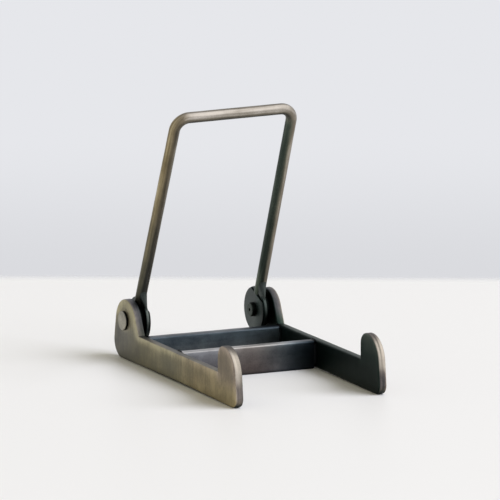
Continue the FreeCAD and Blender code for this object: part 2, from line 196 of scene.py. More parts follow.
def uneven_copy(node, voxel, passes):
    """An even copy with slight hand-worked unevenness, never past the CAD node's own box."""
    mesh = even_copy(node, voxel, passes)
    points, normals = points_of(mesh)
    low, high = node_size(node)
    push = noise_at(points / UNEVEN_EVERY) * UNEVENNESS
    points = np.clip(points + normals * push[:, None], low, high)
    mesh.vertices.foreach_set("co", points.ravel())
    mesh.update()
    return mesh


def paint(mesh, relief, edge, tint):
    """Store each point's relief and edge, from 0 to 1, and its tint, for the material to read."""
    for name, values in (("relief", relief), ("edge", edge)):
        layer = mesh.attributes.new(name, "FLOAT", "POINT")
        layer.data.foreach_set("value", np.clip(values, 0.0, 1.0).astype(np.float32))
    colours = np.ones((len(mesh.vertices), 4), np.float32)
    colours[:, :3] = tint
    layer = mesh.attributes.new("tint", "FLOAT_COLOR", "POINT")
    layer.data.foreach_set("color", colours.ravel())


def no_edge(mesh):
    """The edge values of a piece that has no worn edge."""
    return np.zeros(len(mesh.vertices))


def blend_tints(share, first, second):
    """One tint per point, between two tints."""
    share = np.clip(share, 0.0, 1.0)[:, None]
    return np.array(first) * (1.0 - share) + np.array(second) * share


def add_mesh(name, mesh, material):
    """Put a painted mesh into the scene with its material, shaded smooth."""
    mesh.materials.append(material)
    mesh.polygons.foreach_set("use_smooth", [True] * len(mesh.polygons))
    return new_piece(name, mesh)


def finish_piece(name, mesh, node, body, material):
    """Put a piece into the scene and let it stand for its CAD node."""
    piece = add_mesh(name, mesh, material)
    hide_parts(node)
    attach(piece, body)


def finish_braze(name, mesh, relief, body, material):
    """Put a brazed joint into the scene; it stands for no CAD node."""
    paint(mesh, relief, no_edge(mesh), PLAIN)
    piece = add_mesh(name, mesh, material)
    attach(piece, body)


# ---------------------------------------------------------------- materials

class NodeTree:
    """A node tree, with short ways to add the nodes used here."""

    def __init__(self, tree):
        self.nodes = tree.nodes
        self.links = tree.links

    def feed(self, socket, value):
        """Give a socket a number, a colour or the output of another node."""
        if isinstance(value, (int, float)):
            socket.default_value = value
        elif isinstance(value, tuple):
            socket.default_value = (*value, 1.0)
        else:
            self.links.new(value, socket)

    def maths(self, operation, first, second):
        """One sum; each value is a number or an output."""
        node = self.nodes.new("ShaderNodeMath")
        node.operation = operation
        self.feed(node.inputs[0], first)
        self.feed(node.inputs[1], second)
        return node.outputs[0]

    def vector_maths(self, operation, first, second, output):
        """One sum on vectors, of an output and a constant."""
        node = self.nodes.new("ShaderNodeVectorMath")
        node.operation = operation
        self.links.new(first, node.inputs[0])
        node.inputs[1].default_value = second
        return node.outputs[output]

    def along(self, axis, vector):
        """One of the three numbers of a vector."""
        node = self.nodes.new("ShaderNodeSeparateXYZ")
        self.links.new(vector, node.inputs[0])
        return node.outputs[axis]

    def spread(self, value, low, high, to_low=0.0, to_high=1.0):
        """A value from low..high, carried smoothly to to_low..to_high."""
        node = self.nodes.new("ShaderNodeMapRange")
        node.interpolation_type = "SMOOTHSTEP"
        self.links.new(value, node.inputs["Value"])
        node.inputs["From Min"].default_value = low
        node.inputs["From Max"].default_value = high
        node.inputs["To Min"].default_value = to_low
        node.inputs["To Max"].default_value = to_high
        return node.outputs["Result"]

    def mix(self, share, first, second, kind="MIX"):
        """A colour between two colours or outputs, or with MULTIPLY their product."""
        node = self.nodes.new("ShaderNodeMix")
        node.data_type = "RGBA"
        node.blend_type = kind
        self.feed(node.inputs["Factor"], share)
        colours = [socket for socket in node.inputs if socket.type == "RGBA"]
        self.feed(colours[0], first)
        self.feed(colours[1], second)
        return next(output for output in node.outputs if output.type == "RGBA")


class Shader(NodeTree):
    """The node tree of a new material."""

    def __init__(self, name):
        self.material = bpy.data.materials.new(name)
        self.material.use_nodes = True
        super().__init__(self.material.node_tree)
        self.surface = self.nodes["Principled BSDF"]
        self.place = self.nodes.new("ShaderNodeTexCoord").outputs["Object"]

    def painted(self, name, output="Fac"):
        """A value or a colour painted on the mesh."""
        node = self.nodes.new("ShaderNodeAttribute")
        node.attribute_name = name
        return node.outputs[output]

    def grain(self, every, detail=3.0, rough=0.55):
        """Noise from 0 to 1; every is its spacing in metres along X, Y and Z."""
        node = self.nodes.new("ShaderNodeTexNoise")
        node.inputs["Scale"].default_value = 1.0
        node.inputs["Detail"].default_value = detail
        node.inputs["Roughness"].default_value = rough
        scale = [1.0 / step for step in every]
        scaled = self.vector_maths("MULTIPLY", self.place, scale, "Vector")
        self.links.new(scaled, node.inputs["Vector"])
        return node.outputs["Fac"]

    def wobble(self, value, texture, amount):
        """A value pushed up and down by a texture, by amount each way at most."""
        centred = self.maths("SUBTRACT", texture, 0.5)
        return self.maths("ADD", value, self.maths("MULTIPLY", centred, 2.0 * amount))

    def ramp(self, value, stops):
        """A colour that runs through the given stops of (place, colour)."""
        node = self.nodes.new("ShaderNodeValToRGB")
        bar = node.color_ramp
        while len(bar.elements) < len(stops):
            bar.elements.new(0.5)
        for element, (place, colour) in zip(bar.elements, stops):
            element.position = place
            element.color = (*colour, 1.0)
        self.links.new(value, node.inputs["Fac"])
        return node.outputs["Color"]

    def bump(self, height, depth, strength, under=None):
        """A bump whose full height is depth metres, laid over another bump if one is given."""
        node = self.nodes.new("ShaderNodeBump")
        node.inputs["Distance"].default_value = depth
        node.inputs["Strength"].default_value = strength
        self.links.new(height, node.inputs["Height"])
        if under is not None:
            self.links.new(under, node.inputs["Normal"])
        return node.outputs["Normal"]

    def finish(self, colour, roughness, normal):
        """Connect the metal's surface."""
        self.surface.inputs["Metallic"].default_value = 1.0
        self.links.new(colour, self.surface.inputs["Base Color"])
        self.links.new(roughness, self.surface.inputs["Roughness"])
        self.links.new(normal, self.surface.inputs["Normal"])
        return self.material


def antique_metal(name, stops, pale_edge, brushing, roughness, patch_every=PATCH_EVERY,
                  unevenness=(0.42, 0.42, 0.14)):
    """Brass under a dark patina that is rubbed off by degrees.

    stops are the colours from untouched patina to bare metal, pale_edge the colour of a worn edge,
    brushing the spacing of the brush lines along X, Y and Z, and roughness a pair: patina, metal.
    unevenness is how strongly patches, brush lines and specks vary the wear.
    """
    shader = Shader(name)
    patches = shader.grain((patch_every,) * 3, detail=4.0)
    lines = shader.grain(brushing, detail=5.0, rough=0.7)
    specks = shader.grain((SPECK_EVERY,) * 3, detail=2.0)
    uneven = 1.0
    for texture, amount in zip((patches, lines, specks), unevenness):
        uneven = shader.wobble(uneven, texture, amount)
    wear = shader.maths("MULTIPLY", shader.painted("relief"), uneven)
    colour = shader.ramp(wear, stops)
    colour = shader.mix(1.0, colour, shader.painted("tint", "Color"), "MULTIPLY")
    worn_edge = shader.maths("MULTIPLY", shader.painted("edge"), uneven)
    worn_edge = shader.spread(worn_edge, *EDGE_SHOWS, 0.0, EDGE_PALEST)
    colour = shader.mix(worn_edge, colour, pale_edge)
    rough = shader.spread(wear, 0.0, 1.0, *roughness)
    rough = shader.wobble(rough, lines, BRUSH_ROUGHNESS)
    normal = shader.bump(lines, BRUSH_DEPTH, BRUSH_STRENGTH)
    normal = shader.bump(specks, SPECK_DEPTH, SPECK_STRENGTH, normal)
    return shader.finish(colour, rough, normal)


def plate_metal():
    """Side plates: green-black inside, rubbed to olive outside, with upright brush lines."""
    stops = ((0.0, (0.0036, 0.0085, 0.0066)), (0.25, (0.028, 0.036, 0.031)),
             (0.50, (0.108, 0.103, 0.088)), (0.72, (0.191, 0.174, 0.126)),
             (1.0, (0.395, 0.362, 0.268)))
    return antique_metal("plate_antique_brass", stops, pale_edge=(0.515, 0.468, 0.402),
                         brushing=(0.50 * MM, 0.55 * MM, 9.0 * MM), roughness=(0.50, 0.42),
                         unevenness=(0.42, 0.34, 0.14))


def crossbar_metal():
    """Crossbars: dark gunmetal with brush lines along them."""
    stops = ((0.0, (0.0035, 0.0045, 0.0050)), (0.25, (0.030, 0.032, 0.034)),
             (0.5, (0.085, 0.082, 0.084)), (1.0, (0.250, 0.240, 0.230)))
    return antique_metal("crossbar_gunmetal", stops, pale_edge=(0.52, 0.51, 0.49),
                         brushing=(9.0 * MM, 1.0 * MM, 0.8 * MM), roughness=(0.44, 0.38),
                         patch_every=7 * MM, unevenness=(0.50, 0.14, 0.16))


def wire_metal():
    """Backrest wire: dark taupe, rubbed to a pale one."""
    stops = ((0.0, (0.012, 0.017, 0.015)), (0.30, (0.062, 0.060, 0.052)),
             (0.60, (0.195, 0.172, 0.138)), (1.0, (0.480, 0.446, 0.405)))
    return antique_metal("wire_antique_brass", stops, pale_edge=(0.45, 0.41, 0.36),
                         brushing=(1.4 * MM, 1.4 * MM, 5.0 * MM), roughness=(0.48, 0.38),
                         unevenness=(0.36, 0.12, 0.08))


def disc_metal():
    """Eye plates, washers and brazed roots: dark grey-green."""
    stops = ((0.0, (0.0040, 0.0060, 0.0058)), (0.5, (0.070, 0.082, 0.078)),
             (1.0, (0.200, 0.210, 0.200)))
    return antique_metal("disc_antique_brass", stops, pale_edge=(0.24, 0.25, 0.24),
                         brushing=(0.8 * MM, 0.8 * MM, 0.8 * MM), roughness=(0.46, 0.40))


def rivet_metal():
    """Rivets: dark, and pale where they are rubbed."""
    stops = ((0.0, (0.004, 0.006, 0.005)), (0.5, (0.120, 0.120, 0.102)),
             (1.0, (0.450, 0.425, 0.340)))
    return antique_metal("rivet_antique_brass", stops, pale_edge=(0.50, 0.47, 0.40),
                         brushing=(0.9 * MM, 0.9 * MM, 0.9 * MM), roughness=(0.44, 0.38))


# ---------------------------------------------------------------- side plates

# Places on a side plate, counted back from its front end,
HOOK = (18 * MM, 14 * MM)
FRONT_HALF = (58 * MM, 30 * MM)
# counted forwards from its back end,
HEEL = (28 * MM, 8 * MM)
# and counted up from the table.
FOOT = (8 * MM, 2 * MM)
UPPER = (4 * MM, 11 * MM)
LOBE = (9 * MM, 17 * MM)
HOOK_INSIDE = (6 * MM, 19 * MM)
HOOK_FRONT = (6.5 * MM, 12 * MM)
OFF_THE_TABLE = (0.2 * MM, 3 * MM)
# Places through a side plate, from 0 at its inner face to 1 at its outer one.
OUTER_EDGE = (0.3, 0.8)
OUTER_PART = (-0.3, 0.6)
# Directions, by the parts of a normal.
FACES_OUT = (0.3, 0.9)
FACES_UP = (0.7, 1.0)
# Faces turned front and up are painted paler on the hook, as a painted highlight.
HIGHLIGHT_FACES_FRONT_AND_UP = (0.1, 0.8)
RIM_FACES_UP = (-0.25, 0.35)
RIM_IS_BARE = (-0.8, 0.2)
ROUNDED_EDGE = (0.25, 0.9)
# A point is on the rim if its normal leaves the face and it lies mid-way through the plate.
RIM_NORMAL = 0.3
RIM_MIDDLE = 0.15
# How far from the rim the face is still rubbed, and by how much further on the lobe.
RIM_FADE = 2.2 * MM
RIM_FADE_ON_LOBE = 0.6
# How pale the hook's front is worn at most, and at least.
MOST_WORN = 0.94
LEAST_WORN = {"left": 0.24, "right": 0.10}
# Streaks and file marks, and how strongly they show.  The file marks run along the right hook's
# rim; their first and their spacing are in plate thicknesses.
STREAKS_IN_RELIEF = 0.35
STREAKS_IN_EDGE = {"left": 0.45, "right": 0.60}
FILE_MARK_FIRST = 0.25
FILE_MARK_EVERY = 0.55
FILE_MARKS_IN_RELIEF = 0.26
FILE_MARKS_IN_EDGE = 0.32
# Tints of some places.
FRONT_RIM_TINT = (0.98, 0.99, 1.14)
UPPER_HOOK_TINT = (0.97, 0.97, 1.22)
LOWER_HOOK_RIM_TINT = (0.97, 0.99, 1.38)
BAR_RIM_TINT = {"left": (1.0, 1.0, 0.96), "right": GREEN}
LOBE_RIM_TINT = (0.96, 0.97, 1.20)


def nearest_rim(points, normals, across):
    """For each point, how far the plate's outline is, and which way the outline faces there.

    Both are read in the plane of the plate.
    """
    middle = np.abs(across - 0.5) < RIM_MIDDLE
    on_rim = np.flatnonzero((np.abs(normals[:, 0]) < RIM_NORMAL) & middle)
    tree = kdtree.KDTree(len(on_rim))
    for index in on_rim:
        tree.insert(Vector((0.0, points[index, 1], points[index, 2])), int(index))
    tree.balance()
    distance = np.empty(len(points))
    facing = np.empty((len(points), 3))
    for index, point in enumerate(points):
        found = tree.find(Vector((0.0, point[1], point[2])))
        distance[index] = found[2]
        facing[index] = normals[found[1]]
    return distance, facing


class PlatePlaces:
    """Where each point of a side plate lies and which way it faces, mostly from 0 to 1.

    across runs through the plate, from its inner face to its outer one.  outwards, inwards and
    strip part the points by the way they face: outer face, inner face and rim.  right is 1 on the
    right plate and 0 on the left one.
    """

    def __init__(self, mesh, name):
        points, normals = points_of(mesh)
        low, high = node_size(name + "_side_plate")
        side = SIDES[name]
        inner, outer = (low[0], high[0]) if side > 0 else (high[0], low[0])
        self.name = name
        self.right = float(name == "right")
        self.height = points[:, 2] - low[2]
        self.across = (points[:, 0] - inner) / (outer - inner)
        self.hook = smooth_step(points[:, 1] - low[1], *HOOK)
        self.front_half = smooth_step(points[:, 1] - low[1], *FRONT_HALF)
        self.upper = smooth_step(self.height, *UPPER)
        self.lobe = smooth_step(self.height, *LOBE) * (1 - self.hook)
        self.heel = smooth_step(high[1] - points[:, 1], *HEEL) * (1 - self.lobe)
        self.foot = smooth_step(self.height, *FOOT) * self.front_half
        self.set_directions(points, normals, side)
        self.streaks = noise_at(PLATE_STREAKS_ACROSS * self.across, points[:, 1:] / STREAK_LENGTH)
        marks = (self.across - FILE_MARK_FIRST) / FILE_MARK_EVERY
        self.file_marks = np.cos(2 * np.pi * marks) * self.hook * self.strip * self.right

    def set_directions(self, points, normals, side):
        """The values that depend on which way a point, or the rim nearest to it, faces."""
        distance, facing = nearest_rim(points, normals, self.across)
        fade = RIM_FADE * (1 + RIM_FADE_ON_LOBE * self.lobe)
        self.near_rim = np.exp(-(distance / fade) ** 2)
        self.near_rim *= smooth_step(facing[:, 2] - 0.25 * facing[:, 1], *RIM_FACES_UP)
        self.outwards = smooth_step(normals[:, 0] * side, *FACES_OUT)
        self.inwards = smooth_step(-normals[:, 0] * side, *FACES_OUT)
        self.strip = (1 - self.outwards) * (1 - self.inwards)
        self.strip *= smooth_step(facing[:, 2] - 0.6 * facing[:, 1], *RIM_IS_BARE)
        self.highlight_front_up = smooth_step(0.35 * normals[:, 2] - normals[:, 1], *HIGHLIGHT_FACES_FRONT_AND_UP)
        self.tip = smooth_step(normals[:, 2], *FACES_UP)
        slant = 1 - np.abs(2 * np.abs(normals[:, 0]) - 1)
        self.rounded = smooth_step(slant, *ROUNDED_EDGE)


def plate_relief(at):
    """How far the patina is rubbed off: the outer face most, then the rim, the inner face least.

    Each number is what the place beside it adds or takes away.
    """
    face = 0.655 - 0.07 * at.heel + 0.10 * at.lobe + 0.10 * at.foot
    face += at.front_half * (0.105 - 0.08 * at.upper)
    face += at.near_rim * (0.36 - 0.15 * at.lobe - 0.16 * at.front_half)
    inside_hook = 0.34 * smooth_step(at.height, *HOOK_INSIDE) + 0.10 * at.near_rim
    inside = 0.035 + inside_hook * at.hook
    lobe_rim = 0.26 + 0.46 * at.across
    bar_rim = 0.36 + 0.30 * at.across - 0.22 * at.right
    # The hook's rim is lighter where it faces front and up, as a painted highlight.
    hook_rim = 0.34 + 0.18 * at.highlight_front_up - 0.10 * at.right * (1 - at.upper)
    hook_rim *= 0.72 + 0.42 * at.across
    rim = lobe_rim * at.lobe + bar_rim * (1 - at.lobe)
    rim = rim * (1 - at.hook) + hook_rim * at.hook
    relief = face * at.outwards + inside * at.inwards + rim * at.strip
    relief *= 1 + STREAKS_IN_RELIEF * at.streaks * at.strip
    return relief * (1 + FILE_MARKS_IN_RELIEF * at.file_marks * (1 - at.upper))


def plate_edge(at):
    """How far the edges are worn pale: the rounded outer edge, and all the front of the hook, which
    is paler where it faces front and up as a painted highlight.
    """
    edge = at.rounded * smooth_step(at.across, *OUTER_EDGE) * (0.24 + 0.35 * at.near_rim)
    worn = smooth_step(at.height, *HOOK_FRONT) * smooth_step(at.across, *OUTER_PART)
    least = LEAST_WORN[at.name]
    hook_front = least + (MOST_WORN - least) * worn
    hook_front *= at.strip * at.hook * at.highlight_front_up * (1 - 0.6 * at.tip)
    edge = np.maximum(edge, hook_front) * smooth_step(at.height, *OFF_THE_TABLE)
    edge *= 1 + STREAKS_IN_EDGE[at.name] * at.streaks * at.strip
    return edge * (1 + FILE_MARKS_IN_EDGE * at.file_marks)


def plate_tint(at):
    """The outer face is olive, brown to the front and grey at the heel, and the inner one green."""
    tint = blend_tints(at.heel, OLIVE, GREY)
    for share, place_tint in ((at.front_half, BROWN),
                              (at.front_half * at.near_rim, FRONT_RIM_TINT),
                              (at.hook * at.upper, UPPER_HOOK_TINT),
                              (at.hook * at.strip * (1 - at.upper), LOWER_HOOK_RIM_TINT)):
        tint = tint * blend_tints(share, PLAIN, place_tint)
    rim_tint = blend_tints(at.lobe, BAR_RIM_TINT[at.name], LOBE_RIM_TINT)
    behind_hook = (at.strip > 0.5) & (at.hook < 0.5)
    tint = np.where(behind_hook[:, None], rim_tint, tint)
    return np.where((at.inwards > 0.5)[:, None], GREEN, tint)


def make_side_plate(name, material):
    """One side plate, rubbed bright outside and on its hook, left dark inside."""
    node = name + "_side_plate"
    mesh = uneven_copy(node, PLATE_VOXEL, PLATE_PASSES)
    at = PlatePlaces(mesh, name)
    paint(mesh, plate_relief(at), plate_edge(at), plate_tint(at))
    finish_piece("plate_" + name, mesh, node, "base", material)


# ---------------------------------------------------------------- crossbars

# The rounding of a crossbar's top edges, and the bevel of its bottom corners.
BAR_EDGE_ROUND = 0.5 * MM
BAR_BOTTOM_CORNER = 0.8 * MM
# How far below the top edge the painted highlight reaches, and how high the painted foot shade is.
TOP_HIGHLIGHT_DEPTH = 1.1 * MM
FOOT_SHADE_HEIGHT = 1.2 * MM
# Places to the right of the middle, reached towards the left.  The first ends the painted
# reflection of the dark right plate, which darkens the front bar and its top towards the right
# end; the second ends the blue of that painted reflection on the front bar.
BAR_CLEAR_OF_PLATE_REFLECTION = (28 * MM, 10 * MM)
BAR_WARM = (20 * MM, 0.0)
BAR_FAR_LEFT = (-2 * MM, -12 * MM)
# A place in the bar's height, from 0 at its foot to 1 at its top, and a direction.
BAR_LOW = (0.9, 0.0)
BAR_FACES_UP = (0.15, 0.75)
# The rear bar's edge is worn this much of the front bar's.
REAR_EDGE_SHARE = 0.40
# The tint that both take on towards the foot.
FOOT_TINT = {"front": (1.01, 0.90, 0.84), "rear": (1.05, 0.80, 0.66)}


def make_crossbar(name, material):
    """A crossbar, browner towards its foot; its top edge is pale, partly worn and partly a painted
    highlight, with painted highlight just below it and painted contact shade at its foot.

    The front one is darker and bluer towards its right end, as a painted reflection of the dark
    right plate.
    """
    node = name + "_crossbar"
    mesh = uneven_copy(node, PLATE_VOXEL, BAR_PASSES)
    points, normals = points_of(mesh)
    low, high = node_size(node)
    level = (points[:, 2] - low[2]) / (high[2] - low[2])
    left = smooth_step(points[:, 0], *BAR_CLEAR_OF_PLATE_REFLECTION)
    warm = smooth_step(points[:, 0], *BAR_WARM)
    far_left = smooth_step(points[:, 0], *BAR_FAR_LEFT)
    top = smooth_step(normals[:, 2] - 0.25 * normals[:, 1], *BAR_FACES_UP)
    below_top = np.maximum(high[2] - BAR_EDGE_ROUND - points[:, 2], 0.0)
    top_highlight = np.exp(-below_top / TOP_HIGHLIGHT_DEPTH) * left
    # The top faces are painted pale, partly as a worn edge and partly as a painted highlight; the
    # painted reflection of the dark right plate dims them towards the right end.
    edge = top * (0.06 + 0.62 * left ** 1.5) * (1 - 0.15 * far_left)
    if name == "front":
        # The front bar is lighter upwards and in a band below its top as a painted highlight, and
        # darker and bluer towards its right end as a painted reflection of the dark right plate.
        relief = 0.10 + 0.49 * left + 0.22 * left * (level - 0.5) + 0.55 * top_highlight
        tint = blend_tints(warm, BLUE, PINK) * blend_tints(far_left, PLAIN, LILAC)
    else:
        # The rear bar has a faint band of painted highlight below its top.
        relief = (0.82 - 0.13 * warm) * (1 - 0.75 * top) + 0.16 * top * left + 0.09 * top_highlight
        edge *= REAR_EDGE_SHARE
        tint = np.array(BLUE)
    # Painted contact shade: the bar darkens towards the table.
    relief *= 0.40 + 0.60 * smooth_step(points[:, 2] - low[2], 0.0, FOOT_SHADE_HEIGHT)
    tint = tint * blend_tints(smooth_step(level, *BAR_LOW), PLAIN, FOOT_TINT[name])
    paint(mesh, relief, edge, tint)
    finish_piece("bar_" + name, mesh, node, "base", material)


# ---------------------------------------------------------------- backrest wire

WIRE_RADIUS = 2.0 * MM
# Places up the wire from the pivot,
HIGH_UP = (10 * MM, 62 * MM)
NEAR_ROOT = (22 * MM, 12 * MM)
# down from the wire's top,
TOP_BEND = (9 * MM, 3 * MM)
# and to the right of its left side, because the left bend looks as the leg does.
PAST_LEFT_BEND = (1.87 * MM, 8.87 * MM)
# Directions round a leg, away from the middle for the outer side and towards it for the inner.
LEFT_OUTER = (0.05, 1.0)
LEFT_INNER = (-0.20, 0.80)
RIGHT_OUTER = (-0.78, 0.40)
RIGHT_INNER = (0.30, 0.80)
# Directions up and down round the top: its upper sides are lighter as a painted highlight and
# its underside darker as painted shade.
TOP_HIGHLIGHT_SIDES = (-1.0, 0.18)
TOP_UPPERMOST = (0.72, 1.0)
# How much more the top is rubbed at its left end than in its middle.
TOP_LEFT_MORE = 0.076
WIRE_STREAKS = 0.30
# Tints of the left leg from its foot to its top, and of the right leg.
LEFT_DARK_TINTS = (GREY, (1.05, 0.98, 0.84))
LEFT_INNER_TINT = (0.97, 1.00, 1.02)
LEFT_RUBBED_TINTS = ((0.97, 1.00, 0.84), (1.08, 0.98, 0.66))
RIGHT_RUBBED_TINT = (1.0, 0.97, 0.93)


def wire_frame_axes():
    """The wire's own upright direction and its front direction, both square to X."""
    low, high = node_size("backrest_wire")
    rise = high[2] - PIVOT.z
    run = PIVOT.y - low[1]
    lean = math.atan2(run, rise)
    up = np.array([0.0, -math.sin(lean), math.cos(lean)])
    front = np.array([0.0, -math.cos(lean), -math.sin(lean)])
    return up, front


def left_leg_wear(outwards, high_up):
    """Relief and tint of the left leg, which is rubbed on its outer side and more so high up."""
    outer = smooth_step(outwards, *LEFT_OUTER)
    inner = smooth_step(-outwards, *LEFT_INNER)
    relief = 0.25 + 0.17 * high_up + outer * (0.14 + 0.15 * high_up) + 0.22 * inner
    dark_tint = blend_tints(inner, blend_tints(high_up, *LEFT_DARK_TINTS), LEFT_INNER_TINT)
    rubbed_tint = blend_tints(high_up, *LEFT_RUBBED_TINTS)
    return relief, blend_tints(outer, dark_tint, rubbed_tint)


def right_leg_wear(outwards, high_up, near_root):
    """Relief and tint of the right leg, whose outer side is rubbed far round to the dark front."""
    outer = smooth_step(outwards, *RIGHT_OUTER)
    inner = smooth_step(-outwards, *RIGHT_INNER)
    relief = 0.13 + 0.06 * high_up + outer * (0.34 + 0.20 * high_up)
    relief += inner * (0.12 + 0.18 * near_root)
    return relief, blend_tints(outer, GREEN, RIGHT_RUBBED_TINT)


def legs_wear(points, normals, height):
    """Relief and tint of both legs."""
    outwards = normals[:, 0] * np.sign(points[:, 0])
    high_up = smooth_step(height, *HIGH_UP)
    left_relief, left_tint = left_leg_wear(outwards, high_up)
    right_relief, right_tint = right_leg_wear(outwards, high_up, smooth_step(height, *NEAR_ROOT))
    on_left = points[:, 0] < 0
    relief = np.where(on_left, left_relief, right_relief)
    return relief, np.where(on_left[:, None], left_tint, right_tint)


def top_wear_and_sheen(points, normals, half_width):
    """The top is rubbed all round; its upper sides are lighter as a painted highlight, lightest a
    little below the uppermost, and its underside is darker as painted shade.
    """
    rubbed = smooth_step(normals[:, 2], *TOP_HIGHLIGHT_SIDES)
    rubbed *= 1 - 0.45 * smooth_step(normals[:, 2], *TOP_UPPERMOST)
    return (0.27 + 0.64 * rubbed) * (1 - TOP_LEFT_MORE * points[:, 0] / half_width)


def make_wire(material):
    """The backrest wire: a well rubbed top with a painted highlight, on darker legs, with streaks
    along it.
    """
    node = "backrest_wire"
    mesh = uneven_copy(node, WIRE_VOXEL, WIRE_PASSES)
    points, normals = points_of(mesh)
    low, high = node_size(node)
    up, front = wire_frame_axes()
    height = (points - np.array(PIVOT)) @ up
    on_top = smooth_step(height.max() - height, *TOP_BEND)
    on_top *= smooth_step(points[:, 0] - low[0], *PAST_LEFT_BEND)
    mostly_top = on_top > 0.5
    along = np.where(mostly_top, points[:, 0], height)
    turn = np.arctan2(np.where(mostly_top, normals @ up, normals[:, 0]), normals @ front)
    streaks = noise_at(WIRE_STREAKS_ROUND * turn, along / STREAK_LENGTH, np.zeros(len(along)))
    relief, tint = legs_wear(points, normals, height)
    relief = relief * (1 - on_top) + on_top * top_wear_and_sheen(points, normals, high[0] - WIRE_RADIUS)
    relief *= 1 + WIRE_STREAKS * streaks
    paint(mesh, relief, no_edge(mesh), blend_tints(on_top, tint, PLAIN))
    finish_piece("wire_backrest", mesh, node, "backrest", material)


# ---------------------------------------------------------------- discs and rivets

# Places forwards of the pivot and below it.  The last two bound the painted shade on the lower
# front of a disc.
DISC_FRONT = (0.5 * MM, 5 * MM)
DISC_FORWARDS = (0.0, 6 * MM)
DISC_DOWNWARDS = (-4 * MM, 2 * MM)
# The lip round a disc's face, in shares of the disc's reach; its front is darkened as painted
# shade.
DISC_LIP = (0.74, 0.92)
DISC_TINT = (0.96, 1.0, 1.0)
# How far the faces and the rim of each disc are rubbed.  The left eye's rim is set lighter than
# the right one as painted light in the shade beside the side plate, and the washers' rims dark as
# painted shade in their gaps.
EYE_FACE = 0.40
EYE_RIM_WITH_PAINTED_LIGHT = {"left": 0.66, "right": 0.46}
SPACER_FACE = 0.03
INNER_FACE = 0.40
WASHER_RIM_SHADE = 0.04
# A rivet's head, counted inwards from its outer end, and the directions of its two ends.
RIVET_HEAD = (5.2 * MM, 1.2 * MM)
HEAD_FACES_OUT = (0.2, 0.8)
END_FACES_IN = (0.5, 0.95)


def make_disc(node, body, material, face_relief, rim_relief):
    """An eye plate or a washer: its rim and its faces are rubbed differently, and it is darker
    towards its front; its lower front and the front of its lip are darker as painted shade, and
    on the right the rim's lower front too, as the painted shadow of the right lobe.
    """
    mesh = even_copy(node, DISC_VOXEL, SMALL_PASSES)
    points, normals = points_of(mesh)
    face = np.abs(normals[:, 0])
    forwards = PIVOT.y - points[:, 1]
    downwards = PIVOT.z - points[:, 2]
    front = smooth_step(forwards, *DISC_FRONT)
    shaded_front_low = smooth_step(forwards, *DISC_FORWARDS) * smooth_step(downwards, *DISC_DOWNWARDS)
    reach = np.hypot(forwards, downwards)
    lip = smooth_step(reach / reach.max(), *DISC_LIP)
    # Painted shade: the lower front of each disc and the front of its lip are darkened; on the
    # right the rim's lower front too, as the painted shadow of the right lobe.
    on_face = (1 - 0.35 * front) * (1 - 0.5 * shaded_front_low) * (1 - 0.7 * lip * front)
    on_rim = 1 - 0.8 * shaded_front_low * (points[:, 0] > 0)
    relief = face_relief * face * on_face + rim_relief * (1 - face) * on_rim
    tint = blend_tints(front * face, DISC_TINT, GREEN)
    paint(mesh, relief, no_edge(mesh), tint)
    finish_piece(node.replace("plate", "disc") + "_fine", mesh, node, body, material)


def make_rivet(name, side, material):
    """A rivet: its outer head is pale and its inner end is dark."""
    node = name + "_rivet"
    mesh = even_copy(node, RIVET_VOXEL, SMALL_PASSES)
    points, normals = points_of(mesh)
    outer_end = max(abs(corner[0]) for corner in node_size(node))
    outer = smooth_step(outer_end - points[:, 0] * side, *RIVET_HEAD)
    head = outer * smooth_step(normals[:, 0] * side, *HEAD_FACES_OUT)
    inner_end = (1 - outer) * smooth_step(-normals[:, 0] * side, *END_FACES_IN)
    relief = 0.02 + 0.76 * head + 0.12 * inner_end
    paint(mesh, relief, no_edge(mesh), blend_tints(inner_end, PLAIN, GREEN))
    finish_piece("rivet_" + name, mesh, node, "base", material)


# ---------------------------------------------------------------- brazed joints

BEAD_RADIUS = 0.55 * MM
BEAD_STEPS = 6
BEAD_RELIEF = 0.03
BEAD_SWELL = 0.25
BEAD_SWELL_EVERY = 1.5 * MM
# How deep the bead's back sinks into the joint, in shares of its radius.
BEAD_SINK = 0.15
# The bead starts this far above the crossbar's bottom corner.
BEAD_CLEARANCE = 0.4 * MM
BEAD_PLACES_UP = 8
BEAD_PLACES_ROUND = 4

# A brazed root's sections lie across the leg at a height above the pivot, all in millimetres: how
# far each reaches to the front and to the back of the root's middle, and half its thickness.
ROOT_SECTIONS = ((13.2, 1.70, 1.60, 1.60), (12.0, 2.05, 1.80, 1.70), (11.0, 2.70, 1.90, 1.66),
                 (10.2, 3.50, 2.00, 1.52), (9.4, 4.25, 2.10, 1.36), (8.6, 4.90, 2.25, 1.20),
                 (7.8, 5.40, 2.60, 1.04), (7.0, 5.75, 3.50, 0.88), (6.4, 6.00, 4.20, 0.64))
ROOT_STEPS = 40
# The root's middle lies this far behind the wire's axis.
ROOT_SETBACK = 0.9 * MM
ROOT_RELIEF_LOW = 0.46
ROOT_RELIEF_HIGH = 0.30


def closed_loft(name, rings):
    """A closed mesh through rings of as many points each, with a flat cap on either end."""
    ring = len(rings[0])
    corners = [corner for row in rings for corner in row]
    faces = []
    for start in range(0, len(corners) - ring, ring):
        for step in range(ring):
            after = (step + 1) % ring
            faces.append((start + step, start + after, start + ring + after, start + ring + step))
    faces.append(tuple(reversed(range(ring))))
    faces.append(tuple(range(len(corners) - ring, len(corners))))
    mesh = bpy.data.meshes.new(name)
    mesh.from_pydata([tuple(corner) for corner in corners], [], faces)
    mesh.validate()
    return mesh


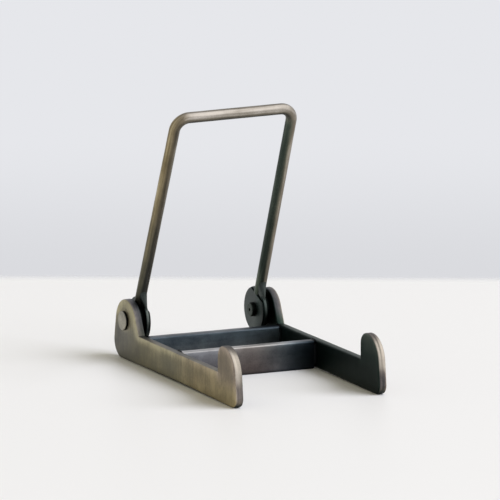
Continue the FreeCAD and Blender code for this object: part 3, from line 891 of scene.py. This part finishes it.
def make_bead(name, path, body, material):
    """A bead of braze with a hollow face, along a path.

    Each place on the path is a corner point and the two directions that run from it along the two
    surfaces that the bead joins.
    """
    rings = []
    for corner, first, second in path:
        reach = BEAD_RADIUS * (1.0 + BEAD_SWELL * noise.noise(corner / BEAD_SWELL_EVERY))
        centre = corner + (first + second) * reach
        row = []
        for step in range(BEAD_STEPS + 1):
            turn = 0.5 * math.pi * step / BEAD_STEPS
            row.append(centre - (first * math.cos(turn) + second * math.sin(turn)) * reach)
        row.append(corner - (first + second) * (BEAD_SINK * reach))
        rings.append(row)
    mesh = closed_loft(name, rings)
    relief = np.full(len(mesh.vertices), BEAD_RELIEF)
    finish_braze(name, mesh, relief, body, material)


def crossbar_bead_path(node, side):
    """Round the end of a crossbar: up its front, over its top and down its back."""
    low, high = node_size(node)
    end_x = side * high[0]
    inwards = Vector((-side, 0, 0))
    front, back = low[1], high[1]
    foot = BAR_BOTTOM_CORNER + BEAD_CLEARANCE
    shoulder = high[2] - BAR_EDGE_ROUND
    heights = np.linspace(foot, shoulder, BEAD_PLACES_UP + 1)
    places = [(Vector((end_x, front, height)), Vector((0, -1, 0))) for height in heights]
    for y_centre, start in ((front + BAR_EDGE_ROUND, 180.0), (back - BAR_EDGE_ROUND, 90.0)):
        centre = Vector((end_x, y_centre, shoulder))
        for step in range(BEAD_PLACES_ROUND + 1):
            turn = math.radians(start - 90.0 * step / BEAD_PLACES_ROUND)
            out = Vector((0, math.cos(turn), math.sin(turn)))
            places.append((centre + out * BAR_EDGE_ROUND, out))
    places += [(Vector((end_x, back, height)), Vector((0, 1, 0))) for height in heights[::-1]]
    return [(corner, inwards, out) for corner, out in places]


def make_wire_root(name, side, material):
    """The brazed root of a leg: it spreads from the wire's sides onto the eye plate's rim."""
    up, front = wire_frame_axes()
    wire_x = node_size("backrest_wire")[1][0] - WIRE_RADIUS
    eye_x = np.mean(node_size("right_eye_plate"), axis=0)[0]
    highest, lowest = ROOT_SECTIONS[0][0], ROOT_SECTIONS[-1][0]
    rings = []
    for height, to_front, to_back, half in ROOT_SECTIONS:
        share = (height - lowest) / (highest - lowest)
        centre_x = side * (eye_x + (wire_x - eye_x) * share)
        middle = np.array(PIVOT) + up * (height * MM) - front * ROOT_SETBACK
        row = []
        for step in range(ROOT_STEPS):
            turn = side * 2 * math.pi * step / ROOT_STEPS
            reach = (to_front if math.sin(turn) > 0 else to_back) * MM
            place = middle + front * (reach * math.sin(turn))
            row.append(Vector((centre_x + half * MM * math.cos(turn), place[1], place[2])))
        rings.append(row)
    mesh = closed_loft("root_" + name, rings[::-1])
    relief = np.repeat(np.linspace(ROOT_RELIEF_LOW, ROOT_RELIEF_HIGH, len(rings)), ROOT_STEPS)
    finish_braze("braze_root_" + name, mesh, relief, "backrest", material)


# ---------------------------------------------------------------- stage, light and camera

def direction_to(azimuth, elevation):
    """From the stand towards an azimuth, counted from the front to the right, and an elevation."""
    return Vector((math.sin(azimuth) * math.cos(elevation),
                   -math.cos(azimuth) * math.cos(elevation),
                   math.sin(elevation)))


def place_facing(thing, away, distance, target, roll=0.0):
    """Put a lamp or a camera a distance away from a target, and turn it to face the target."""
    thing.location = target + away * distance
    thing.rotation_mode = "QUATERNION"
    level = (-away).to_track_quat("-Z", "Y")
    thing.rotation_quaternion = level @ Quaternion((0, 0, 1), roll)
    bpy.context.scene.collection.objects.link(thing)


def make_table(azimuth):
    """A pale table top whose far edge, square to the view, fades softly into the wall."""
    mesh = bpy.data.meshes.new("table")
    half = TABLE_REACH / 2
    far = TABLE_EDGE + TABLE_PAST_EDGE
    mesh.from_pydata([(-half, -half, 0), (half, -half, 0), (half, far, 0), (-half, far, 0)],
                     [], [(0, 1, 2, 3)])
    table = new_piece("table", mesh)
    table.rotation_euler.z = azimuth
    shader = Shader("table_top")
    edge = shader.spread(shader.along("Y", shader.place), TABLE_EDGE - TABLE_EDGE_BLUR,
                         TABLE_EDGE + TABLE_EDGE_BLUR)
    clear = shader.nodes.new("ShaderNodeBsdfTransparent")
    blend = shader.nodes.new("ShaderNodeMixShader")
    shader.links.new(edge, blend.inputs[0])
    shader.links.new(shader.surface.outputs[0], blend.inputs[1])
    shader.links.new(clear.outputs[0], blend.inputs[2])
    shader.links.new(blend.outputs[0], shader.nodes["Material Output"].inputs["Surface"])
    shader.surface.inputs["Base Color"].default_value = (*TABLE_COLOUR, 1.0)
    shader.surface.inputs["Roughness"].default_value = TABLE_ROUGHNESS
    shader.surface.inputs["Specular IOR Level"].default_value = TABLE_SPECULAR
    mesh.materials.append(shader.material)


def make_world():
    """Even room light; the camera sees a pale wall, and the metal sees the room and its window."""
    world = bpy.data.worlds.new("room")
    bpy.context.scene.world = world
    world.use_nodes = True
    room = NodeTree(world.node_tree)
    ray = room.nodes.new("ShaderNodeLightPath").outputs
    direction = room.nodes.new("ShaderNodeTexCoord").outputs["Generated"]
    wall_share = room.spread(room.along("Z", direction), WALL_LOW_AT, WALL_HIGH_AT)
    wall = room.mix(wall_share, WALL_LOW, WALL_HIGH)
    window = direction_to(WINDOW_AZIMUTH, WINDOW_ELEVATION)
    towards_window = room.vector_maths("DOT_PRODUCT", direction, window, "Value")
    seen = room.mix(room.spread(towards_window, GLOW_FROM, GLOW_TO), ROOM_SEEN, GLOW_SEEN)
    colour = room.mix(ray["Is Camera Ray"], ROOM_LIGHT, wall)
    colour = room.mix(ray["Is Glossy Ray"], colour, seen)
    background = room.nodes["Background"]
    room.links.new(colour, background.inputs["Color"])
    background.inputs["Strength"].default_value = 1.0


def make_window():
    """The main light: a large soft window, which the metal sees only as the glow in the world."""
    light = bpy.data.lights.new("window", "AREA")
    light.shape = "SQUARE"
    light.size = WINDOW_SIZE
    light.energy = WINDOW_POWER
    light.color = WINDOW_COLOUR
    window = bpy.data.objects.new("window", light)
    away = direction_to(WINDOW_AZIMUTH, WINDOW_ELEVATION)
    place_facing(window, away, WINDOW_DISTANCE, Vector((0, 0, 0)))
    window.visible_glossy = False


def make_camera():
    """The viewing angle: from the front left, a little above."""
    camera = bpy.data.objects.new("camera", bpy.data.cameras.new("camera"))
    camera.data.sensor_width = CAMERA_SENSOR
    camera.data.lens = CAMERA_LENS
    camera.data.clip_start = CAMERA_NEAREST
    camera.data.clip_end = CAMERA_FARTHEST
    away = direction_to(CAMERA_AZIMUTH, CAMERA_ELEVATION)
    place_facing(camera, away, CAMERA_DISTANCE, CAMERA_AIM, CAMERA_ROLL)
    bpy.context.scene.camera = camera


def make_stand():
    """Every piece of the stand."""
    plate = plate_metal()
    bar = crossbar_metal()
    wire = wire_metal()
    disc = disc_metal()
    rivet = rivet_metal()
    make_wire(wire)
    for name in ("rear", "front"):
        make_crossbar(name, bar)
    for name, side in SIDES.items():
        make_side_plate(name, plate)
        make_disc(name + "_eye_plate", "backrest", disc, EYE_FACE, EYE_RIM_WITH_PAINTED_LIGHT[name])
        make_disc(name + "_spacer_washer", "base", disc, SPACER_FACE, WASHER_RIM_SHADE)
        make_disc(name + "_inner_washer", "backrest", disc, INNER_FACE, WASHER_RIM_SHADE)
        make_rivet(name, side, rivet)
        for bar_name in ("rear", "front"):
            path = crossbar_bead_path(bar_name + "_crossbar", side)
            make_bead("braze_%s_%s" % (bar_name, name), path, "base", bar)
        make_wire_root(name, side, disc)


make_camera()
make_table(CAMERA_AZIMUTH)
make_world()
make_window()
make_stand()
bpy.context.scene.view_settings.view_transform = "Standard"
